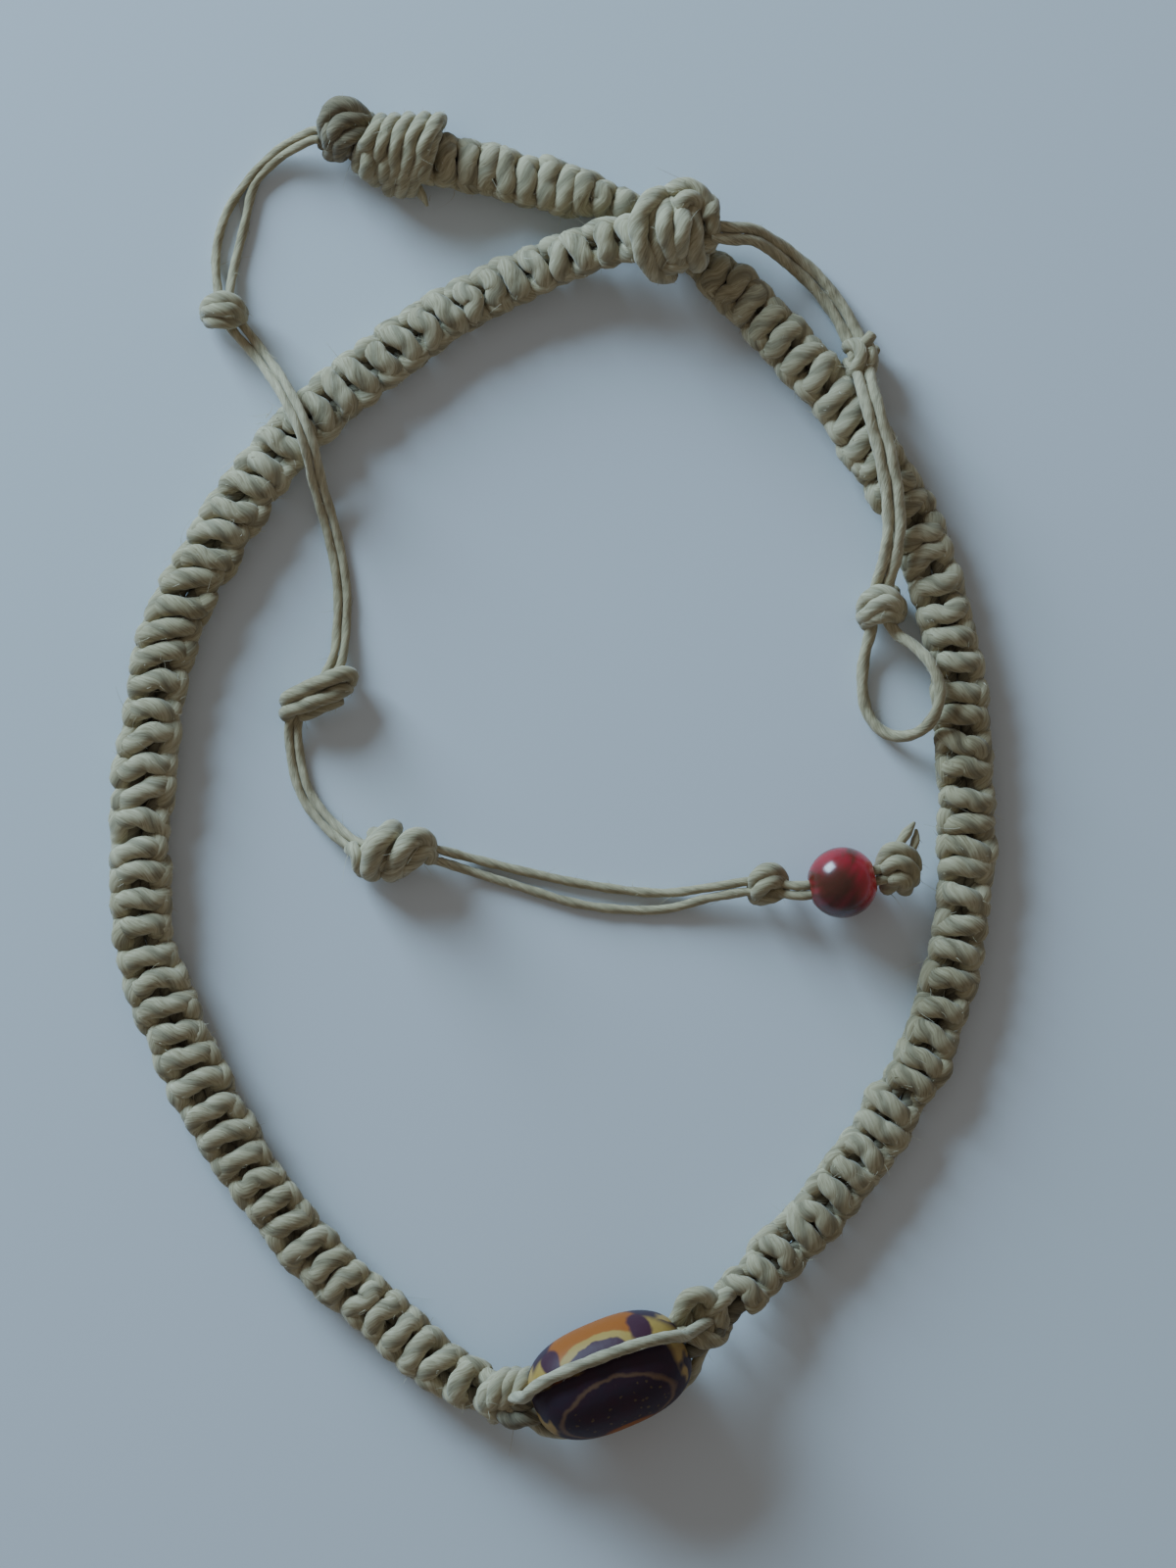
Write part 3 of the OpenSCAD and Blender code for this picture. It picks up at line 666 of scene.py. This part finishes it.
# Button tail knots
upper_knot = knot("upper_spacing_knot_twine", "upper_spacing_knot", "button_tail", lobes(
    (-37.2, 51.3),
    (2.0, (-1.9, -0.2, 1.4), (-1.7, 1, 2.9), (-0.8, 1.5, 3.7), (0.6, 1.5, 3.7), (1.5, 1, 3.1), (1.9, 0, 1.6)),
    (2.0, (-1.9, 0.4, 1.4), (-1.5, 0.4, 3.3), (-0.2, 0.5, 4.1), (1.1, 0.3, 3.6), (1.9, -0.3, 1.8)),
    (2.0, (-1.7, -0.5, 1.4), (-1, -0.7, 2.9), (0, -0.8, 3.4), (1, -0.7, 2.9), (1.7, -0.1, 1.6))))
middle_knot = knot("middle_spacing_knot_twine", "middle_spacing_knot", "button_tail", lobes(
    (-26.8, 8.3),
    (1.9, (3.8, 1.6, 1.4), (3.8, 2.4, 2.8), (2.5, 2.3, 3.6), (0.6, 1.5, 3.7), (-1.2, 0.7, 3.4),
     (-2.7, 0, 2.8), (-3.5, -0.8, 1.6)),
    (1.9, (3.5, 0.9, 1.6), (2.5, 0.4, 3), (0.6, -0.4, 3.4), (-1.4, -1.1, 3.1), (-2.8, -1.6, 2.5),
     (-3.5, -2.2, 1.4)),
    (1.6, (2.7, -0.3, 1.4), (1.4, -1, 2.1), (-0.2, -1.7, 2.2), (-1.9, -2.2, 1.8)),
    (1.8, (2.9, 1.4, 1.6), (0.6, 0.4, 1.6), (-2.1, -0.8, 1.5))))
lower_knot = knot("lower_spacing_knot_twine", "lower_spacing_knot", "button_tail", [
    inner(1.8, (-18.4, -9.6, 2.4), (0.62, 0.78, 0), (0.9, -0.35, 0), 1.6, 1.1, 2.0, 3.0),
    *lobes((-18.2, -9.4),
           (1.8, (-4.7, 0.6, 2.6), (-4, -0.2, 3.5), (-3.7, -1.4, 2.6), (-3.4, -2.2, 1.4)),
           (2.6, (0, 2.6, 2), (-0.4, 2.2, 3.9), (-1.4, 1.2, 4.8), (-2.1, -0.2, 4.6), (-2.5, -1.4, 3.4),
            (-2.3, -2.4, 1.8)),
           (2.4, (-0.3, -2.5, 1.6), (0.2, -1.7, 3.2), (0.9, -0.2, 4.7), (1.7, 1.1, 5), (2.8, 1.8, 4.6),
            (3.8, 1.4, 3.4), (4.2, 0.4, 2.2)),
           (2.2, (0.7, -2, 1.8), (1.8, -1.2, 3.4), (3, -0.3, 4), (3.8, 0.2, 3.6), (4.3, -0.5, 2.4)))])
keeper = knot("bead_keeper_knot_twine", "bead_keeper_knot", "bead_tail", lobes(
    (24.2, -13.1),
    (2.0, (-1.6, -0.9, 1.6), (-1.4, 0.5, 3.1), (-0.7, 1.5, 4), (0.4, 1.7, 4), (1.2, 1.1, 3.1), (1.5, 0, 1.8)),
    (2.0, (-1.4, -1.3, 1.6), (-0.9, -0.5, 3.5), (-0.1, 0.4, 4.2), (1, 0.6, 3.6), (1.6, -0.3, 2)),
    (1.9, (-0.9, -1.6, 1.4), (-0.1, -1.2, 2.9), (0.9, -1, 2.9), (1.5, -0.7, 1.8))))
STOPPER = (38.9, -11.2)
stopper = knot("bead_stopper_knot_twine", "bead_stopper_knot", "bead_tail", lobes(
    STOPPER,
    (1.9, (-1.9, 0, 2), (-1.6, 1.4, 3.7), (-0.6, 2.2, 4.4), (0.6, 2, 4.2), (1.5, 1.2, 3.3), (1.9, 0, 2)),
    (1.9, (-1.7, -1.1, 1.8), (-1.3, 0, 4), (-0.4, 0.8, 4.8), (0.7, 0.5, 4.6), (1.5, -0.4, 3.5),
     (1.7, -1.5, 1.8)),
    (2.2, (-1.2, -2, 1.6), (-0.6, -1.3, 3.5), (0.1, -0.9, 4.2), (0.8, -1.4, 3.4), (0.7, -2.3, 1.6))))
stopper_ends = knot("stopper_cord_ends_twine", "stopper_cord_ends", "bead_tail", lobes(
    STOPPER,
    (1.2, (-0.3, 2, 3.6), (0.3, 3.2, 3.8), (1.1, 4.3, 3.4), (1.8, 5.2, 2.8)),
    (1.1, (1.1, 1.3, 3.2), (1.7, 2.6, 3.2), (2, 3.7, 2.8), (2, 4.4, 2.5)), taper=(0, 1.4)),
    HEMP_TAIL)


# ---------------------------------------------------------------- the free cords
def free_cord(name, node, body, route, d):
    s = Strand(route, d, 9, depth=0.04, steps=8, sides=12)
    o = twine(name, [s], HEMP_TAIL, CORD_HAIRS)
    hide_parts(node)
    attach(o, body)


def closer(left, right, which, gap, level=0.3):
    """The two lines, a gap apart at these points, with a share of their height difference kept."""
    a, b = np.array(left, float), np.array(right, float)
    for i in which:
        middle, apart = (a[i] + b[i]) / 2, (a[i] - b[i]) / 2
        apart *= gap / 2 / np.linalg.norm(apart[:2])
        apart[2] *= level
        a[i], b[i] = middle + apart, middle - apart
    return a, b


# ---------------------------------------------------------------- beads
def turned(name, profile, centre, along, material, sides=96):
    """A turned solid: profile is (length along, radius) and goes all the way round its section."""
    along = unit(along)
    up = np.array([0, 0, 1.0])
    across = np.cross(up, along)
    verts, faces, uvs = [], [], []
    n = len(profile)
    for i in range(sides):
        g = 2 * math.pi * i / sides
        out = math.sin(g) * across + math.cos(g) * up
        verts += [np.array(centre) + s * along + r * out for s, r in profile]
    for i in range(sides):
        for j in range(n):
            k, m = (j + 1) % n, (i + 1) % sides
            faces.append([i * n + j, i * n + k, m * n + k, m * n + j])
            for jj, ii in ((j, i), (k, i), (k, i + 1), (j, i + 1)):
                uvs.append((profile[jj][0] / BEAD_MAP + 0.5, ii / sides))
    return mesh_object(name, verts, faces, uvs, material)


def bead_profile(length, d, hole, power, n=40):
    """An outline with rounded ends that turns into its hole."""
    out = []
    for i in range(n + 1):
        a = math.radians(-90 + 180 * i / n)
        s = length / 2 * math.copysign(abs(math.sin(a)) ** (2 / power), math.sin(a))
        r = d / 2 * abs(math.cos(a)) ** (2 / power)
        if r > hole / 2 + 0.15:
            out.append((s, r))
    lip, throat, mouth = out[-1][0], out[-1][0] - 0.35, hole / 2 + 0.04
    return out + [(lip - 0.03, mouth), (throat, hole / 2), (-throat, hole / 2), (-lip + 0.03, mouth)]


def dyed_bead():
    """Amber with dark purple-brown dyed over it: eyes in rings, and dotted ovals between them."""
    s = Shader("dyed_bead", 0.45)
    u, v, _ = s.split(s.coords("UV"))
    warp = s.noise(s.coords("Object"), 420.0, 2.0)
    warp_b = s.noise(s.coords("Object"), 610.0, 2.0)
    x = s.math("ADD", s.math("MULTIPLY", s.math("SUBTRACT", u, 0.5), BEAD_MAP),
               s.math("MULTIPLY", s.math("SUBTRACT", warp, 0.5), 1.2))
    mm_a_degree = 0.108                  # round the bead, at its full diameter
    wob = s.math("MULTIPLY", s.math("SUBTRACT", warp_b, 0.5), 1.0)

    def round_from(angle):
        """Millimetres round the bead from an angle, the same again on its far side."""
        turn = s.math("ADD", s.math("MULTIPLY", v, 360.0), 90.0 - angle)
        half = s.math("MODULO", s.math("ADD", turn, 360.0), 180.0)
        return s.math("ADD", s.math("MULTIPLY", s.math("SUBTRACT", half, 90.0), mm_a_degree), wob)

    def oval(y, cx, cy, a, b):
        dx = s.math("DIVIDE", s.math("SUBTRACT", x, cx), a)
        dy = s.math("DIVIDE", s.math("SUBTRACT", y, cy), b)
        return s.math("SQRT", s.math("ADD", s.math("MULTIPLY", dx, dx), s.math("MULTIPLY", dy, dy)))

    def inside(value, soft=0.05):
        return s.range(value, 1 - soft, 1 + soft, 1.0, 0.0)

    y, y2 = round_from(27.0), round_from(-40.0)
    purple, navy = (0.06, 0.02, 0.034), (0.03, 0.029, 0.046)
    amber, yellow, brown = (0.32, 0.095, 0.015), (0.37, 0.235, 0.06), (0.17, 0.1, 0.065)
    ground = s.mix(s.noise(s.coords("Object"), 500.0), purple, navy)
    near_ends = s.range(s.math("ABSOLUTE", x), 5.9, 6.4)
    tips = s.math("MULTIPLY", near_ends, inside(oval(y, 0.0, 1.6, 9.0, 3.4), 0.12))
    colour = s.mix(tips, ground, yellow)
    colour = s.mix(inside(oval(y, 0.0, 0.0, 5.9, 10.0)), colour, amber)
    colour = s.mix(inside(oval(y, 0.0, 0.4, 4.5, 2.6)), colour, yellow)
    colour = s.mix(inside(oval(y, 0.0, 0.4, 3.5, 1.6)), colour, purple)
    spot = s.math("MINIMUM", oval(y, -5.3, 2.3, 1.15, 2.3), oval(y, 5.3, 2.4, 1.4, 2.5))
    colour = s.mix(inside(spot, 0.12), colour, purple)
    # Below the front cord's line the colours laid so far give way to the dark ground
    colour = s.mix(s.range(y, -0.9, -0.4, 1.0, 0.0), colour, ground)
    ring = oval(y2, -0.4, 0.0, 7.0, 4.7)
    colour = s.mix(s.math("MULTIPLY", inside(ring, 0.03), s.range(ring, 0.89, 0.94)), colour, brown)
    dots = s.range(s.cells(s.join(x, y2, 0.0), 1.15), 0.14, 0.24, 1.0, 0.0)
    dotted = s.math("MULTIPLY", dots, inside(oval(y2, -0.4, 0.0, 6.0, 3.9)))
    colour = s.mix(dotted, colour, (0.13, 0.09, 0.05))
    patch = s.math("MULTIPLY", s.range(s.math("ABSOLUTE", x), 7.3, 7.9),
                   s.range(s.noise(s.coords("Object"), 330.0, 1.0), 0.5, 0.56))
    colour = s.mix(patch, colour, (0.42, 0.27, 0.09))
    s.colour(colour)
    s.bump(s.noise(s.coords("Object"), 900.0, 3.0), 0.25, 0.0002)
    s.main.inputs["Specular IOR Level"].default_value = 0.18
    return s.mat


def red_glass():
    """Streaked red, with painted shade in a brown middle, painted light on the right where light passes
    through, and painted shade below. Its places are metres.
    """
    s = Shader("red_glass", 0.22)
    swirl = s.noise(s.coords("Object"), 110.0, 3.0, 2.0)
    colour = s.ramp(swirl, [(0.34, (0.46, 0.02, 0.04)), (0.47, (0.3, 0.016, 0.026)),
                            (0.56, (0.13, 0.03, 0.014)), (0.68, (0.4, 0.03, 0.04))])
    x, y, _ = s.split(s.coords("Object"))
    # Painted shade: the middle of the bead is coloured dark brown
    middle = s.math("SQRT", s.math("ADD", s.math("POWER", s.math("SUBTRACT", x, 0.0316), 2.0),
                                   s.math("POWER", s.math("SUBTRACT", y, -0.0128), 2.0)))
    colour = s.mix(s.range(middle, 0.0013, 0.0029, 0.9, 0.0), colour, (0.09, 0.025, 0.014))
    # Painted light: the right side is coloured bright red, as light passing through the glass
    colour = s.mix(s.range(x, 0.0336, 0.0356, 0.0, 0.8), colour, (0.72, 0.03, 0.06))
    # Painted shade: the bottom of the bead is coloured dark
    colour = s.mix(s.range(y, -0.0138, -0.0160, 0.0, 0.85), colour, (0.05, 0.006, 0.02))
    s.colour(colour)
    s.main.inputs["Subsurface Weight"].default_value = 0.5
    s.main.inputs["Subsurface Radius"].default_value = (1.0, 0.12, 0.1)
    s.main.inputs["Subsurface Scale"].default_value = 0.002
    s.main.inputs["Coat Weight"].default_value = 0.4
    s.main.inputs["Coat Roughness"].default_value = 0.22
    return s.mat


focal = turned("focal_bead_dyed", bead_profile(FOCAL_LEN, FOCAL_D, FOCAL_HOLE, FOCAL_POWER), FOCAL_AT,
               FOCAL_ALONG, dyed_bead())
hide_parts("focal_bead")
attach(focal, "focal_bead")
red = turned("red_bead_glass", bead_profile(RED_D, RED_D, RED_HOLE, 2.0, 48), RED_AT,
             (math.cos(math.radians(RED_TURN)), math.sin(math.radians(RED_TURN)), 0), red_glass())
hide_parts("red_bead")
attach(red, "red_bead")


LASH_SPAN, LASH_STEP = 66, 12            # degrees each way from the bead's middle, and between points


def lashing(left_turn, right_turn, depth):
    """Over the big bead from side knot to side knot, these far round from straight up at its ends."""
    reach = LASH_D / 2 + 0.2

    def outward(a):
        turn = math.radians(left_turn + (right_turn - left_turn) * (a + LASH_SPAN) / (2 * LASH_SPAN))
        return math.sin(turn) * FOCAL_ACROSS + np.array([0, 0, math.cos(turn)])

    points = [np.array(LEFT_KNOT) + depth * outward(-LASH_SPAN)]
    for a in range(-LASH_SPAN, LASH_SPAN + 1, LASH_STEP):
        r = math.radians(a)
        along = (FOCAL_LEN / 2 + reach) * math.copysign(abs(math.sin(r)) ** (2 / FOCAL_POWER), r)
        points.append(FOCAL_AT + along * FOCAL_ALONG
                      + (FOCAL_D / 2 + reach) * math.cos(r) ** (2 / FOCAL_POWER) * outward(a))
    return points + [np.array(RIGHT_KNOT) + depth * outward(LASH_SPAN)]


for name, node, turns in (("front_lashing_twine", "front_lashing_cord", (29, 18)),
                          ("back_lashing_twine", "back_lashing_cord", (-130, -130))):
    o = twine(name, [Strand(lashing(*turns, 0.8), LASH_D, 8.0, depth=0.05)], HEMP_LASH, LASH_HAIRS)
    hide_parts(node)
    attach(o, "necklace")

# The loop cord's two halves lie side by side from the end knot to the base knot: this many points of each
PAIRED = 15
outward, homeward = closer(LOOP_CORD[:PAIRED], LOOP_CORD[::-1][:PAIRED], range(PAIRED), gap=1.32)
LOOP_CORD = [*map(tuple, outward), *LOOP_CORD[PAIRED:-PAIRED], *map(tuple, homeward[::-1])]
free_cord("loop_tail_twine", "loop_tail_cord", "loop_tail", LOOP_CORD, LOOP_D)
# The button cords stand apart only on the way from the end knot to the first spacing knot
touching = [0, 1, 2, 3, *range(9, 25)]
BUTTON_LEFT, BUTTON_RIGHT = closer(BUTTON_LEFT, BUTTON_RIGHT, touching, gap=BUTTON_D * 0.93)
free_cord("button_tail_twine_left", "button_cord_left", "button_tail", BUTTON_LEFT, BUTTON_D)
free_cord("button_tail_twine_right", "button_cord_right", "button_tail", BUTTON_RIGHT, BUTTON_D)
free_cord("bead_end_twine_upper", "bead_cord_upper", "bead_tail", BEAD_UPPER, BUTTON_D)
free_cord("bead_end_twine_lower", "bead_cord_lower", "bead_tail", BEAD_LOWER, BUTTON_D)


# ---------------------------------------------------------------- cloth, light and camera
floor_shader = Shader("pale_floor", 0.9)
floor_shader.colour((0.74, 0.78, 0.83, 1))
bpy.ops.mesh.primitive_plane_add(size=6)
floor = bpy.context.object
floor.name = "floor"
floor.data.materials.append(floor_shader.mat)

world = bpy.data.worlds.new("soft_room")
world.use_nodes = True
world.node_tree.nodes["Background"].inputs["Color"].default_value = (1.0, 0.98, 0.93, 1)
world.node_tree.nodes["Background"].inputs["Strength"].default_value = 0.2
bpy.context.scene.world = world


def area_light(name, place, size, power, colour):
    data = bpy.data.lights.new(name, "AREA")
    data.size, data.energy, data.color = size, power, colour
    o = bpy.data.objects.new(name, data)
    o.location = place
    o.rotation_euler = (-Vector(place)).to_track_quat("-Z", "Y").to_euler()
    bpy.context.scene.collection.objects.link(o)


area_light("window", place=(-0.58, 0.70, 0.32), size=0.45, power=16, colour=(0.5, 0.76, 1.0))

camera_data = bpy.data.cameras.new("camera")
camera_data.lens = 121.6
camera = bpy.data.objects.new("camera", camera_data)
camera.location = (0.003885, -0.001665, 0.6)
bpy.context.scene.collection.objects.link(camera)
bpy.context.scene.camera = camera
